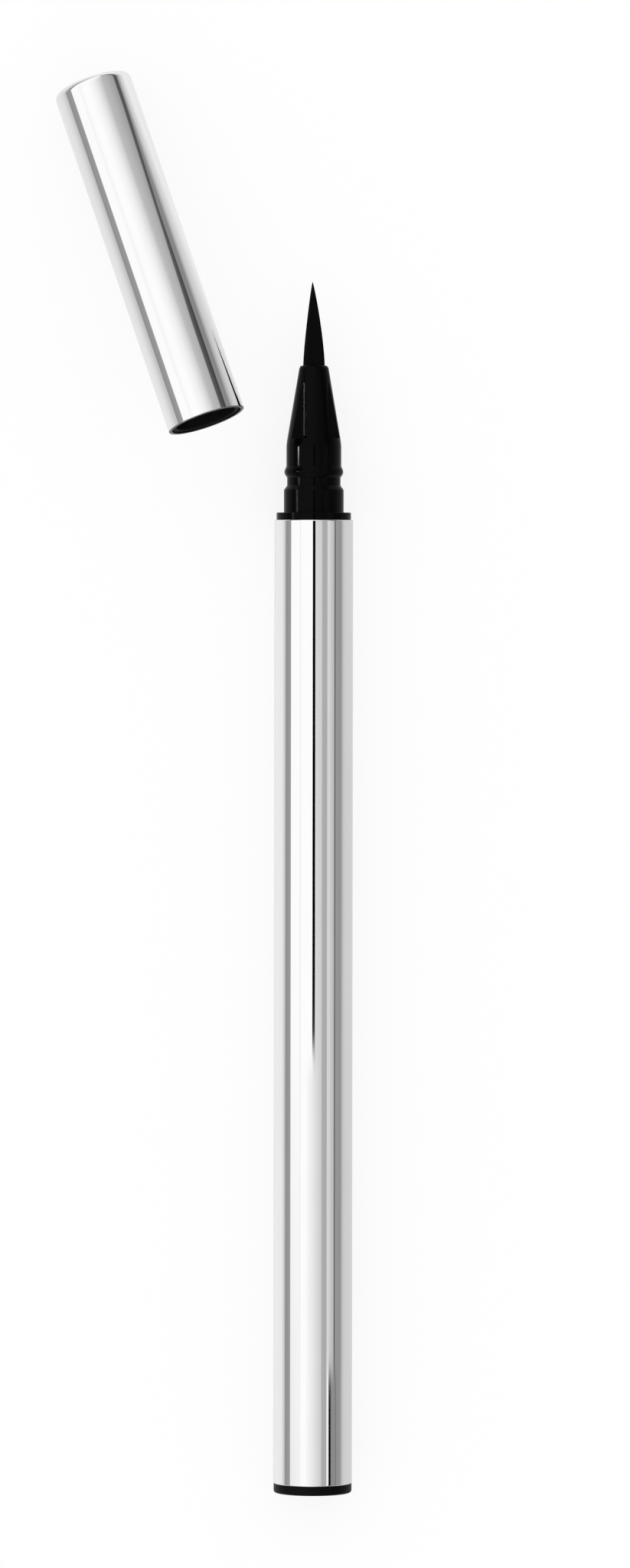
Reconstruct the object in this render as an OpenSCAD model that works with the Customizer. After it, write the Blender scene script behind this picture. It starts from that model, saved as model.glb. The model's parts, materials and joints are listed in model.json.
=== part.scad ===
// Liquid eyeliner pen with a brush tip, lying beside its cap.
// The pen lies along +Y with its tip forward, and +Z is up.
// The origin is the centre of the end plug's flat face, on the pen's axis.
// The cap lies off the pen at the left of the tip, its mouth raised a little.

/* [Barrel] */
// Outer diameter of the barrel's metal tube and of the cap
barrel_d = 8; // [7.4:0.1:10]
// Length of the barrel's metal tube
barrel_len = 97.9; // [85:0.1:120]
// Wall of the metal tube and of the cap's metal shell
shell_wall = 0.35; // [0.25:0.05:0.45]
// Gap between metal and plastic that the glue fills
glue_gap = 0.05; // [0.02:0.01:0.08]
// Bevel on the cut edges of the metal
rim_bevel = 0.1; // [0.05:0.01:0.12]
// Wall of the plastic barrel inside the metal tube
inner_wall = 0.5; // [0.35:0.05:0.7]
// Height of the rails in the plastic barrel that centre the reservoir
rail_height = 0.1; // [0.05:0.05:0.3]
// Width of each rail
rail_w = 0.5; // [0.3:0.1:1]
// Number of rails
rail_count = 6; // [3:1:8]

/* [Collar and cap seat] */
// Length of the collar that shows in front of the metal tube
collar_len = 0.75; // [0.5:0.05:1.5]
// Step from the barrel's surface down to the collar
collar_step = 0.2; // [0.05:0.05:0.25]
// Length of the wide neck that guides the cap
seat_len = 2.3; // [1.5:0.1:4]
// Length of the bevel in front of the wide neck
seat_bevel_len = 0.45; // [0.2:0.05:0.8]
// Thickness of the plastic barrel's front wall behind the tube's end
front_wall = 1.5; // [0.8:0.1:3]

/* [Front section] */
// Depth of the snap groove below the wide neck
groove_depth = 0.325; // [0.28:0.005:0.4]
// Length of the snap groove
groove_len = 0.8; // [0.6:0.05:1.2]
// Step from the wide neck down to the crest of the snap bead
bead_step = 0.05; // [0.02:0.01:0.1]
// Length of the snap bead
bead_len = 1.15; // [0.8:0.05:1.6]
// Step from the wide neck down to the plain neck
neck_step = 0.25; // [0.15:0.05:0.3]
// Length of the plain neck
neck_len = 1.9; // [1:0.1:4]
// Length of the soft bend from the neck to the cone
bend_len = 0.95; // [0.8:0.05:1.5]
// Step from the plain neck down to the cone's foot
foot_step = 0.1; // [0.05:0.01:0.15]
// Length of the nose cone
cone_len = 7.4; // [5:0.1:10]
// Wall around the brush at the nose's mouth
tip_wall = 0.31; // [0.3:0.005:0.45]
// Rounding of the edge at the nose's mouth
tip_round = 0.25; // [0.05:0.01:0.25]
// Length of the bore that guides the brush at the nose's mouth
guide_len = 4.6; // [3:0.1:5]
// Least wall between a notch's rounded corner and the brush's chamber
notch_wall = 0.36; // [0.3:0.01:0.45]
// Fillet along the inner corner of each notch
notch_fillet = 0.4; // [0.1:0.05:0.6]
// Turn of the crossed ribs about the pen's axis
rib_turn = 10; // [0:1:45]
// Width of the shoulder that rests on the plastic barrel's front
shoulder_w = 0.375; // [0.25:0.005:0.45]
// Wall of the spigot that plugs into the barrel
spigot_wall = 0.4; // [0.3:0.05:0.5]
// Length of the spigot's tail behind the front wall
tail_len = 4.85; // [3:0.05:8]
// Height of the lip that snaps behind the front wall
lip_height = 0.12; // [0.05:0.01:0.2]
// Length of the snap lip
lip_len = 0.9; // [0.5:0.1:1.5]

/* [Brush] */
// Diameter of the brush where it leaves the nose
brush_d = 2.16; // [1.8:0.02:2.4]
// Length of the brush in front of the nose
brush_len = 8.5; // [6:0.1:11]
// Sideways lean of the brush's point
brush_lean = 0.15; // [0:0.05:0.4]
// Power that sets how full the brush's taper is
brush_fullness = 1.4; // [1.2:0.1:2.4]
// Number of fibre clumps that show round the brush
clump_count = 16; // [8:1:20]
// Depth of the grooves between the clumps, as a share of the radius
clump_depth = 0.05; // [0.01:0.01:0.1]
// Width of the melted flange at the foot of the brush
flange_step = 0.27; // [0.2:0.01:0.32]
// Thickness of the melted flange
flange_len = 0.8; // [0.5:0.1:1.2]
// Length over which loose fibres show behind the nose's mouth
loose_len = 0.8; // [0.4:0.1:1.2]
// How much closer the rings of fibres lie near the nose than near the point
ring_crowd = 0.45; // [0:0.05:0.6]

/* [Ink system] */
// Diameter of the feed rod
feed_d = 1.3; // [1:0.05:1.5]
// Length of the feed rod inside the reservoir
feed_soak = 8; // [4:0.5:20]
// Length of the feed rod inside the brush
feed_reach = 2.2; // [1:0.1:3]
// Length of the ink reservoir
reservoir_len = 58; // [40:0.5:70]
// Wall of the film round the reservoir
film_wall = 0.1; // [0.05:0.01:0.2]
// Depth of the air grooves along the feed holder
air_groove_depth = 0.35; // [0.2:0.05:0.5]
// Width of the air grooves
air_groove_w = 0.5; // [0.3:0.05:0.7]

/* [End plug] */
// Length of the plug's ring behind the metal tube
ring_len = 0.95; // [0.6:0.05:2]
// Step from the barrel's surface down to the plug's ring
ring_step = 0.03; // [0.01:0.01:0.1]
// Rounding of the ring's back edge
ring_round = 0.25; // [0.05:0.05:0.4]
// Length of the plug's hollow spigot
plug_len = 6; // [4:0.5:10]
// Wall of the plug's spigot
plug_wall = 0.7; // [0.5:0.05:1]
// Thickness of the fins on the plug's stem
fin_w = 0.9; // [0.6:0.1:1.4]

/* [Cap] */
// Length of the cap
cap_len = 36.8; // [33:0.1:45]
// Thickness of the cap's closed end
cap_end_wall = 0.4; // [0.3:0.05:0.8]
// Rounding round the cap's closed end
cap_round = 0.7; // [0.4:0.05:0.9]
// Wall of the cap's plastic liner
liner_wall = 0.5; // [0.4:0.05:0.7]
// Depth of the liner's edge below the cap's rim
liner_recess = 0.15; // [0.05:0.05:0.4]
// Length of the liner
liner_len = 27.8; // [26:0.1:30]
// Bite of the liner's snap rib into the pen's groove
snap_bite = 0.125; // [0.08:0.005:0.15]
// Length of the liner's snap rib, as a share of the snap groove's length
snap_share = 0.8; // [0.6:0.05:0.9]
// Length of the liner's stop behind the room for the snap bead
stop_len = 0.6; // [0.4:0.1:0.8]
// Wall of the inner seal's narrow part
seal_wall = 0.55; // [0.4:0.05:0.8]
// Room between the brush's point and the seal's closed end
tip_room = 1.4; // [0.8:0.1:2]
// Room round the nose and the brush inside the seal
nose_room = 0.4; // [0.3:0.05:0.6]
// Thickness of the seal's closed end and flange
seal_flange_len = 0.8; // [0.5:0.1:1]

/* [Fits] */
// Gap round the wide neck inside the cap
cap_gap = 0.05; // [0.03:0.01:0.1]
// Gap round each plastic piece that plugs into another
fit_gap = 0.03; // [0.02:0.01:0.05]
// Gap left at the blind end of a piece that seats elsewhere
end_gap = 0.1; // [0.05:0.05:0.3]

/* [Resting place of the cap] */
// Distance of the cap's mouth to the left of the pen's axis
cap_left = 10.85; // [10:0.05:20]
// Distance of the cap's mouth in front of the origin
cap_forward = 108.85; // [90:0.05:120]
// Turn of the cap in the plane of the table
cap_yaw = 19; // [0:0.5:40]
// Dip of the cap's closed end below its mouth
cap_dip = 9.5; // [0:0.5:20]

/* [Hidden] */
$fn = 96;
black = [0.04, 0.04, 0.045];
metal = [0.83, 0.83, 0.85];
natural = [0.86, 0.86, 0.83];
felt = [0.08, 0.08, 0.09];
soft_black = [0.06, 0.06, 0.065];
film_clear = [0.8, 0.86, 0.9];

// Radii that the barrel and the cap share
barrel_r = barrel_d / 2;
shell_in_r = barrel_r - shell_wall;
inner_r = shell_in_r - glue_gap;
inner_bore_r = inner_r - inner_wall;
collar_r = barrel_r - collar_step;
ring_r = barrel_r - ring_step;

// Radii of the cap's bore and of the necks that go into it
socket_r = inner_r - liner_wall;
seat_r = socket_r - cap_gap;
groove_r = seat_r - groove_depth;
bead_r = seat_r - bead_step;
neck_r = seat_r - neck_step;
snap_r = bead_r - snap_bite;

// Radii inside the nose
brush_r = brush_d / 2;
root_r = brush_r + fit_gap;
guide_r = root_r + fit_gap;
flange_r = brush_r + flange_step;
chamber_r = flange_r + fit_gap;
foot_r = neck_r - foot_step;
tip_r = guide_r + tip_wall;
rib_half = (chamber_r + notch_wall + notch_fillet) / sqrt(2) - notch_fillet;

// Radii of the spigot and of the ink system
spigot_r = groove_r - shoulder_w;
spigot_bore_r = spigot_r - spigot_wall;
spigot_hole_r = spigot_r + fit_gap;
holder_r = spigot_bore_r - fit_gap;
feed_r = feed_d / 2;
feed_hole_r = feed_r + fit_gap;
film_r = inner_bore_r - rail_height - fit_gap;
core_r = film_r - film_wall - fit_gap;
plug_r = inner_bore_r - fit_gap;

// Places along the pen's axis, measured forward from the plug's face
tube_back = ring_len;
tube_front = tube_back + barrel_len;
collar_front = tube_front + collar_len;
seat_front = collar_front + seat_len;
socket_front = seat_front + seat_bevel_len;
groove_front = socket_front + groove_len;
bead_front = groove_front + bead_len;
neck_front = bead_front + neck_len;
foot = neck_front + bend_len;
nose_front = foot + cone_len;
front_wall_back = tube_front - front_wall;
spigot_back = front_wall_back - tail_len;
chamber_front = nose_front - guide_len;
flange_back = chamber_front - flange_len;
cavity_front = neck_front - end_gap;
reservoir_front = spigot_back;
reservoir_back = reservoir_front - reservoir_len;
feed_back = reservoir_front - feed_soak;
feed_front = flange_back + feed_reach;
plug_front = tube_back + plug_len;
rail_back = plug_front + end_gap;
cone_slope = (foot_r - tip_r) / cone_len;

// Depths into the cap, measured from its rim, which rests on the collar
snap_depth = socket_front - collar_front + groove_len / 2;
bead_room_end = bead_front - collar_front + end_gap;
seal_mouth = bead_room_end + stop_len;
foot_depth = foot - collar_front;
nose_depth = nose_front - collar_front;
point_depth = nose_depth + brush_len;
seal_end = point_depth + tip_room;
liner_back = liner_recess + liner_len;
seal_bore_r = neck_r + fit_gap;
seal_nose_r = tip_r + nose_room;
mouth_z = (cap_len - cap_round) * sin(cap_dip) + (barrel_r - cap_round) * cos(cap_dip)
    + cap_round - barrel_r;

// Points of an arc about a centre, from angle a to angle b
function arc(x, y, r, a, b, n = 8) =
    [for (i = [0:n]) [x + r * cos(a + (b - a) * i / n), y + r * sin(a + (b - a) * i / n)]];

// Points of a curve that leaves p towards q and arrives at s
function bend(p, q, s, n = 8) =
    [for (i = [0:n]) let (t = i / n) (1 - t) * (1 - t) * p + 2 * t * (1 - t) * q + t * t * s];

// Radius of the snap bead at a share t of its length
function bead_at(t) =
    let (base = groove_r + (neck_r - groove_r) * t)
    base + (bead_r - base) * sin(180 * t);

// Radius of the brush at a share t of its length from the nose's mouth
function taper(t) = brush_r * (1 - pow(t, brush_fullness));

// Ring of points round the brush, with its clumps, at a share t of its length
function brush_ring(t, height, sides) =
    [for (i = [0:sides - 1])
        let (a = 360 * i / sides, r = taper(t) * (1 - clump_depth * (1 - cos(clump_count * a)) / 2))
        [r * cos(a) - brush_lean * t * t, r * sin(a), height]];

module lay_pen() {
    rotate([-90, 0, 0]) children();
}

module lay_cap() {
    translate([-cap_left, cap_forward, mouth_z])
        rotate([-90 - cap_dip, 0, cap_yaw])
            children();
}

module tube(r_out, r_in, from, to) {
    rotate_extrude() translate([r_in, from]) square([r_out - r_in, to - from]);
}

module bar(r, from, to) {
    translate([0, 0, from]) cylinder(h = to - from, r = r);
}

module barrel_shell() {
    color(metal) lay_pen() rotate_extrude() polygon([
        [shell_in_r, tube_back], [barrel_r - rim_bevel, tube_back], [barrel_r, tube_back + rim_bevel],
        [barrel_r, tube_front - rim_bevel], [barrel_r - rim_bevel, tube_front], [shell_in_r, tube_front]]);
}

// The plastic barrel ends in the collar, the wide neck and its bevel
module inner_barrel() {
    color(black) lay_pen() {
        rotate_extrude() polygon([
            [inner_bore_r, tube_back], [inner_r, tube_back], [inner_r, tube_front], [collar_r, tube_front],
            [collar_r, collar_front], [seat_r, collar_front], [seat_r, seat_front],
            [groove_r, socket_front], [spigot_hole_r, socket_front],
            [spigot_hole_r, front_wall_back], [inner_bore_r, front_wall_back]]);
        for (i = [0:rail_count - 1])
            rotate(360 * i / rail_count)
                translate([inner_bore_r - rail_height, -rail_w / 2, rail_back])
                    cube([rail_height + inner_wall / 2, rail_w, front_wall_back - rail_back]);
    }
}

module front_outline() {
    polygon(concat(
        [[0, spigot_back], [spigot_r - lip_height, spigot_back], [spigot_r, spigot_back + lip_height],
            [spigot_r, front_wall_back - end_gap - lip_len],
            [spigot_r + lip_height, front_wall_back - end_gap - lip_height],
            [spigot_r + lip_height, front_wall_back - end_gap], [spigot_r, front_wall_back - end_gap],
            [spigot_r, socket_front], [groove_r, socket_front]],
        [for (i = [0:12]) [bead_at(i / 12), groove_front + bead_len * i / 12]],
        bend([neck_r, neck_front], [neck_r, foot - foot_step / cone_slope], [foot_r, foot]),
        arc(tip_r - tip_round, nose_front - tip_round, tip_round, 0, 90, 6),
        [[0, nose_front]]));
}

// A quarter is cut away between two ribs, with a fillet in its corner
module notch_outline() {
    difference() {
        translate([rib_half, rib_half]) square(foot_r);
        difference() {
            translate([rib_half, rib_half]) square(notch_fillet);
            translate([rib_half + notch_fillet, rib_half + notch_fillet]) circle(notch_fillet);
        }
    }
}

// Crossed ribs stand out of the nose cone between its four notches
module front_section() {
    color(black) lay_pen() difference() {
        rotate_extrude() front_outline();
        for (i = [0:3])
            rotate(rib_turn + 90 * i)
                translate([0, 0, foot])
                    linear_extrude(cone_len) notch_outline();
        bar(guide_r, chamber_front - end_gap, nose_front + end_gap);
        bar(chamber_r, cavity_front - end_gap, chamber_front);
        bar(spigot_bore_r, spigot_back - end_gap, cavity_front);
    }
}

// The rings of the fibre bundle lie closer together near the nose
module bristles() {
    sides = 3 * clump_count;
    rings = 14;
    shares = [for (k = [0:rings - 1]) k / rings * (1 - ring_crowd * (1 - k / rings))];
    points = concat(
        brush_ring(0, nose_front - 2 * loose_len, sides),
        [for (t = shares) each brush_ring(t, nose_front + brush_len * t, sides)],
        [[-brush_lean, 0, nose_front + brush_len]]);
    last = rings * sides;
    faces = concat(
        [[for (i = [0:sides - 1]) i]],
        [for (k = [0:rings - 1]) for (i = [0:sides - 1]) let (a = k * sides, j = (i + 1) % sides)
            each [[a + i, a + sides + i, a + sides + j], [a + i, a + sides + j, a + j]]],
        [for (i = [0:sides - 1]) [last + i, last + sides, last + (i + 1) % sides]]);
    polyhedron(points, faces);
}

// The fibres are melted together into a flange at their foot
module brush_tip() {
    color(black) lay_pen() difference() {
        union() {
            bristles();
            bar(root_r, flange_back, nose_front - loose_len);
            bar(flange_r, flange_back, chamber_front);
        }
        bar(feed_hole_r, flange_back - end_gap, feed_front + end_gap);
    }
}

module feed_holder() {
    back = spigot_back + end_gap;
    front = cavity_front - end_gap;
    color(natural) lay_pen() difference() {
        union() {
            bar(holder_r, back, front);
            bar(flange_r, back, flange_back);
        }
        bar(feed_hole_r, back - end_gap, flange_back + end_gap);
        for (a = [0:90:270])
            rotate(a)
                translate([holder_r - air_groove_depth, -air_groove_w / 2, back - end_gap])
                    cube([holder_r, air_groove_w, front - back + 2 * end_gap]);
    }
}

module ink_feed() {
    color(felt) lay_pen() rotate_extrude() polygon([
        [0, feed_back], [feed_r, feed_back], [feed_r, feed_front - feed_r],
        [feed_r / 2, feed_front], [0, feed_front]]);
}

module reservoir_core() {
    color(felt) lay_pen() difference() {
        bar(core_r, reservoir_back, reservoir_front);
        bar(feed_hole_r, feed_back - end_gap, reservoir_front + end_gap);
    }
}

module reservoir_film() {
    color(film_clear) lay_pen() tube(film_r, film_r - film_wall, reservoir_back, reservoir_front);
}

// A ring closes the barrel, and a finned stem behind the reservoir holds it forward
module end_plug() {
    stem_half = inner_bore_r - rail_height - fit_gap;
    color(black) lay_pen() {
        difference() {
            rotate_extrude() polygon(concat(
                [[0, 0]],
                arc(ring_r - ring_round, ring_round, ring_round, -90, 0, 5),
                [[ring_r, ring_len], [plug_r, ring_len], [plug_r, plug_front - plug_wall / 2],
                    [plug_r - plug_wall / 2, plug_front], [0, plug_front]]));
            bar(plug_r - plug_wall, ring_len + plug_wall, plug_front + end_gap);
        }
        intersection() {
            bar(stem_half, ring_len, reservoir_back);
            union() {
                for (a = [0, 90])
                    rotate(a)
                        translate([-stem_half, -fin_w / 2, ring_len])
                            cube([2 * stem_half, fin_w, reservoir_back - ring_len]);
            }
        }
    }
}

module cap_shell() {
    inner_round = cap_round - shell_wall + rim_bevel;
    color(metal) lay_cap() rotate_extrude() polygon(concat(
        [[shell_in_r, 0], [barrel_r - rim_bevel, 0], [barrel_r, rim_bevel]],
        arc(barrel_r - cap_round, cap_len - cap_round, cap_round, 0, 90),
        [[0, cap_len], [0, cap_len - cap_end_wall]],
        arc(shell_in_r - inner_round, cap_len - cap_end_wall - inner_round, inner_round, 90, 0, 6)));
}

// A rib inside the liner snaps into the pen's groove, past its bead
module cap_liner() {
    rib_half_len = snap_share * groove_len / 2;
    crest_half = rib_half_len / 4;
    stop_r = seal_bore_r + 2 * fit_gap;
    color(black) lay_cap() rotate_extrude() polygon([
        [socket_r + rim_bevel, liner_recess], [inner_r, liner_recess], [inner_r, liner_back],
        [socket_r, liner_back], [socket_r, seal_mouth], [stop_r, seal_mouth],
        [stop_r, bead_room_end], [socket_r, bead_room_end],
        [socket_r, snap_depth + rib_half_len], [snap_r, snap_depth + crest_half],
        [snap_r, snap_depth - crest_half], [socket_r, snap_depth - rib_half_len],
        [socket_r, liner_recess + rim_bevel]]);
}

// The seal's lip closes round the plain neck, and its cup covers nose and brush
module inner_seal() {
    body_r = socket_r - fit_gap;
    lip_back = foot_depth + nose_room;
    waist = nose_depth + nose_room;
    outer_waist_r = seal_nose_r + seal_wall;
    color(soft_black) lay_cap() rotate_extrude() polygon(concat(
        [[seal_bore_r + rim_bevel, seal_mouth + fit_gap], [body_r, seal_mouth + fit_gap], [body_r, lip_back],
            [outer_waist_r, waist], [outer_waist_r, liner_back], [inner_r, liner_back],
            [inner_r, liner_back + seal_flange_len], [seal_nose_r, liner_back + seal_flange_len],
            [seal_nose_r, seal_end + seal_flange_len], [0, seal_end + seal_flange_len]],
        arc(0, seal_end - seal_nose_r, seal_nose_r, 90, 0, 6),
        [[seal_nose_r, waist], [seal_bore_r, lip_back], [seal_bore_r, seal_mouth + fit_gap + rim_bevel]]));
}

barrel_shell();
inner_barrel();
front_section();
brush_tip();
feed_holder();
ink_feed();
reservoir_core();
reservoir_film();
end_plug();
cap_shell();
cap_liner();
inner_seal();
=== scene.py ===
"""Looks of a liquid eyeliner pen with a brush tip, lying beside its pulled-off cap."""
import json
import math
import random
from typing import NamedTuple

import bmesh
import bpy
from mathutils import Matrix, Vector


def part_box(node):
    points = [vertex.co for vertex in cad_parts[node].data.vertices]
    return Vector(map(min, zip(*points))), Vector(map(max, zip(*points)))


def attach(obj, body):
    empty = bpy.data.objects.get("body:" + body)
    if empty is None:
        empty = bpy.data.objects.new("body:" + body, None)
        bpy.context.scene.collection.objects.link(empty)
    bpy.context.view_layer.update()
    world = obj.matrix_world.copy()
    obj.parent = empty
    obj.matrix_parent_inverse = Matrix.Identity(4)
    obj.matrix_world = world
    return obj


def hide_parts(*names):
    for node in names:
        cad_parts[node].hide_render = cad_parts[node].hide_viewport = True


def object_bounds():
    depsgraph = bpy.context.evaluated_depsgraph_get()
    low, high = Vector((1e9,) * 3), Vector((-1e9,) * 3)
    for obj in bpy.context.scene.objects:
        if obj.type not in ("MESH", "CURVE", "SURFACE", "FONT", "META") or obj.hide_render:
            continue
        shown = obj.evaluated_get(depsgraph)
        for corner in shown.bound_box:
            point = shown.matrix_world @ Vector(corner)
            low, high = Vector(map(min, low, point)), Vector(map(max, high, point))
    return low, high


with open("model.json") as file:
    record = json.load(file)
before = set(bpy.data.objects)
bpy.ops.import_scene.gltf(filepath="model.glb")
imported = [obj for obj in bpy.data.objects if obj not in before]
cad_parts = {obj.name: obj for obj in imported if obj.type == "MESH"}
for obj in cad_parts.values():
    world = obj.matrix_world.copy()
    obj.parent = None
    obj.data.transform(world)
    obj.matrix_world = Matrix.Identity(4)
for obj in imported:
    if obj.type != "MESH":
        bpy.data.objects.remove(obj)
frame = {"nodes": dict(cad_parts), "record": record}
cad_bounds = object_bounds()

# Units: the pieces are drawn in millimetres and stored in metres
MM = 0.001

# The photograph's frame in pixels, and where the pen lies in it
PHOTO_W, PHOTO_H = 823, 2047
PIXELS_PER_MM = 12.84
AXIS_PX = 409.8
END_FACE_PX = 1948.0
EYE_LEVEL_PX = 750.0
CAMERA_DISTANCE = 0.86
CAMERA_ROLL = 0.075
SENSOR = 36.0

# The camera's place in millimetres
EYE = Vector(((PHOTO_W / 2 - AXIS_PX) / PIXELS_PER_MM,
              (END_FACE_PX - EYE_LEVEL_PX) / PIXELS_PER_MM,
              CAMERA_DISTANCE / MM))

# Barrel, collar and neck
BARREL_R = 4.0
SHELL_WALL = 0.35
SHELL_INSIDE_ROUND = 0.02
RIM_ROUND = 0.1
TUBE_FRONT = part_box("barrel_shell")[1].y / MM
COLLAR_R = 3.8
COLLAR_LEN = 0.75
COLLAR_ROUND = 0.08
COLLAR_FOOT_ROUND = 0.05
SEAT_R = 3.05
SEAT_LEN = 2.3
SEAT_BEVEL = 0.45
SEAT_ROUND = 0.12
SEAT_FRONT_ROUND = 0.04
SOCKET_R = 2.38
INNER_R = 3.6
INNER_BORE_R = 3.1
FRONT_WALL = 1.5

# Plug
RING_LEN = 0.95
RING_R = 3.97
RING_ROUND = 0.25
RING_FRONT_ROUND = 0.03
PLUG_SPIGOT_LEN = 6.0
PLUG_SPIGOT_ROUND = 0.3
STEM_R = 1.0
STEM_ROUND = 0.1
PLUG_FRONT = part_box("end_plug")[1].y / MM

# Front section
GROOVE_R = 2.725
GROOVE_LEN = 0.8
BEAD_R = 3.0
BEAD_LEN = 1.15
NECK_R = 2.8
NECK_LEN = 1.9
BEND_LEN = 0.95
FOOT_R = 2.7
CONE_LEN = 7.4
MOUTH_R = 1.45
MOUTH_ROUND = 0.25
GUIDE_R = 1.14
GUIDE_LEN = 4.6
GUIDE_BEVEL = 0.03
CHAMBER_R = 1.38
CAVITY_R = 1.95
SPIGOT_R = 2.35
SPIGOT_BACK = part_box("front_section")[0].y / MM
NOTCH_WALL = 0.36
NOTCH_FILLET = 0.4
RIB_HALF = (CHAMBER_R + NOTCH_WALL + NOTCH_FILLET) / math.sqrt(2) - NOTCH_FILLET
RIB_ANGLE = 80.0
EDGE_ROUND = 0.035

# Brush: its outline, the flutes of its core, and the fibres laid over it
BRUSH_R = 1.08
BRUSH_FULLNESS = 1.4
BLUNT_SHARE = 0.07
BLUNT_POWER = 10
BRUSH_LEAN = 0.15
BRUSH_HIDDEN_LEN = 2.0
POINT_GAP = 0.01
FLUTES = 44
FLUTE_SIDES = 4
FLUTE_DEPTH = 0.022
FLUTE_DEPTH_SHARES = (0.35, 1.0)
CORE_SINK = 0.03
CORE_STEPS = 30
CORE_CROWDING = 0.9
CORE_LAST = [0.985, 0.994]
STRANDS = 300
STRAND_R = 0.035
STRAND_SIDES = 5
STRAND_STEPS = 12
STRAND_SCATTER = 0.4
STRAND_ENDS = (0.55, 0.985)
STRAND_DRIFT = 0.10
STRAND_DRIFT_POWER = 1.2
STRAND_HEIGHTS = (-0.9, 0.15)
STRAND_RISE = 0.006
STRAND_SINK = 0.4
BRUSH_SEED = 7

# Cap
CAP_LEN = 36.8
CAP_ROUND = 0.7
CAP_LIP_ROUND = 0.05
CAP_END_WALL = 0.4
CAP_END_INSIDE_ROUND = 0.45
LINER_RECESS = 0.15
LINER_BACK = 27.95
LINER_R = 3.6
LINER_LIP_ROUND = 0.12
LINER_EDGE_ROUND = 0.05
LINER_STEP_ROUND = 0.06
BORE_R = 3.1
SNAP_R = 2.875
SNAP_DEPTH = 3.15
SNAP_HALF = 0.32
SNAP_ROUND = 0.08
BEAD_ROOM_END = 4.8
STOP_END = 5.4
STOP_R = 2.89
SEAL_LIP_R = 2.83
SEAL_LIP_BACK = 7.95
SEAL_LIP_ROUND = 0.08
SEAL_EDGE_ROUND = 0.05
SEAL_ROUND = 0.3
SEAL_WAIST = 15.35
SEAL_CUP_R = 1.875
SEAL_CUP_ROUND = 1.8
SEAL_WALL = 0.55
SEAL_END = 24.85
SEAL_FLANGE = 0.8
FIT_GAP = 0.03

# Places along the pen's axis, forward from the plug's face
COLLAR_FRONT = TUBE_FRONT + COLLAR_LEN
SEAT_FRONT = COLLAR_FRONT + SEAT_LEN
SOCKET_FRONT = SEAT_FRONT + SEAT_BEVEL
GROOVE_FRONT = SOCKET_FRONT + GROOVE_LEN
BEAD_FRONT = GROOVE_FRONT + BEAD_LEN
NECK_FRONT = BEAD_FRONT + NECK_LEN
FOOT = NECK_FRONT + BEND_LEN
NOSE_FRONT = FOOT + CONE_LEN
CONE_SLOPE = (FOOT_R - MOUTH_R) / CONE_LEN
BRUSH_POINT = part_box("brush_tip")[1].y / MM
BRUSH_LEN = BRUSH_POINT - NOSE_FRONT

# Sides of the turned pieces
SEGMENTS = 192
TUBE_SEGMENTS = 256
SEAL_SEGMENTS = 128

# Width of the narrow band beside each rounded corner
SHADE_GUARD = 0.012

# Points closer than this are one point, and edges shorter than this are dropped
WELD = 1e-4
SLIVER = 1e-5


# Placing
def cap_place():
    """Local +Z runs from the cap's mouth to its closed end."""
    top = next(m for m in frame["record"]["mounts"] if m["name"] == "cap_top")
    axis = Vector(top["axis"]).normalized()
    mouth = Vector(top["pos_m"]) / MM - axis * CAP_LEN
    turn = Vector((0, 0, 1)).rotation_difference(axis).to_matrix().to_4x4()
    return Matrix.Translation(mouth) @ turn


PEN_PLACE = Matrix.Rotation(math.radians(-90), 4, "X")
CAP_PLACE = cap_place()
CAP_AXIS = CAP_PLACE.to_3x3().col[2]


# Mesh helpers
def finish_mesh(name, bm, place, material, body, node, sharp=32):
    """Closes a mesh drawn in millimetres into a piece that rides on its body.

    The piece stands for its CAD node. Edges sharper than the given degrees stay sharp."""
    bmesh.ops.remove_doubles(bm, verts=bm.verts, dist=WELD)
    bmesh.ops.dissolve_degenerate(bm, edges=bm.edges, dist=SLIVER)
    bmesh.ops.recalc_face_normals(bm, faces=bm.faces)
    mesh = bpy.data.meshes.new(name)
    bm.to_mesh(mesh)
    bm.free()
    mesh.transform(Matrix.Scale(MM, 4) @ place)
    mesh.polygons.foreach_set("use_smooth", [True] * len(mesh.polygons))
    mesh.set_sharp_from_angle(angle=math.radians(sharp))
    mesh.materials.append(material)
    piece = bpy.data.objects.new(name, mesh)
    bpy.context.scene.collection.objects.link(piece)
    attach(piece, body)
    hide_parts(node)
    return piece


def step(a, b, k, n):
    """The value k of n equal steps from a to b."""
    return a + (b - a) * k / n


def polar(radius, angle):
    return radius * math.cos(angle), radius * math.sin(angle)


def round_corners(corners, steps=6):
    """Rounds a closed profile of (radius, along, rounding) corners with arcs.

    A point beside each arc keeps the shading of the straight stretch next to it straight."""
    points = []
    count = len(corners)
    for i, (r, z, rounding) in enumerate(corners):
        here = Vector((r, z))
        if rounding == 0:
            points.append(here)
            continue
        back = (Vector(corners[i - 1][:2]) - here).normalized()
        ahead = (Vector(corners[(i + 1) % count][:2]) - here).normalized()
        half = back.angle(ahead) / 2
        middle = here + (back + ahead).normalized() * rounding / math.sin(half)
        reach = rounding / math.tan(half)
        start = here + back * reach - middle
        end = here + ahead * reach - middle
        sweep = start.angle_signed(end)
        points.append(middle + start + back * SHADE_GUARD)
        for k in range(steps + 1):
            points.append(middle + Matrix.Rotation(-sweep * k / steps, 2) @ start)
        points.append(middle + end + ahead * SHADE_GUARD)
    return [(p.x, p.y) for p in points]


def skin_rings(bm, rings, closed):
    """Joins rings of equally many points with quads, and the last to the first where closed."""
    rows = [[bm.verts.new(p) for p in ring] for ring in rings]
    pairs = list(zip(rows, rows[1:]))
    if closed:
        pairs.append((rows[-1], rows[0]))
    for a, b in pairs:
        for i in range(len(a)):
            j = (i + 1) % len(a)
            bm.faces.new((a[i], a[j], b[j], b[i]))
    return rows


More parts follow.
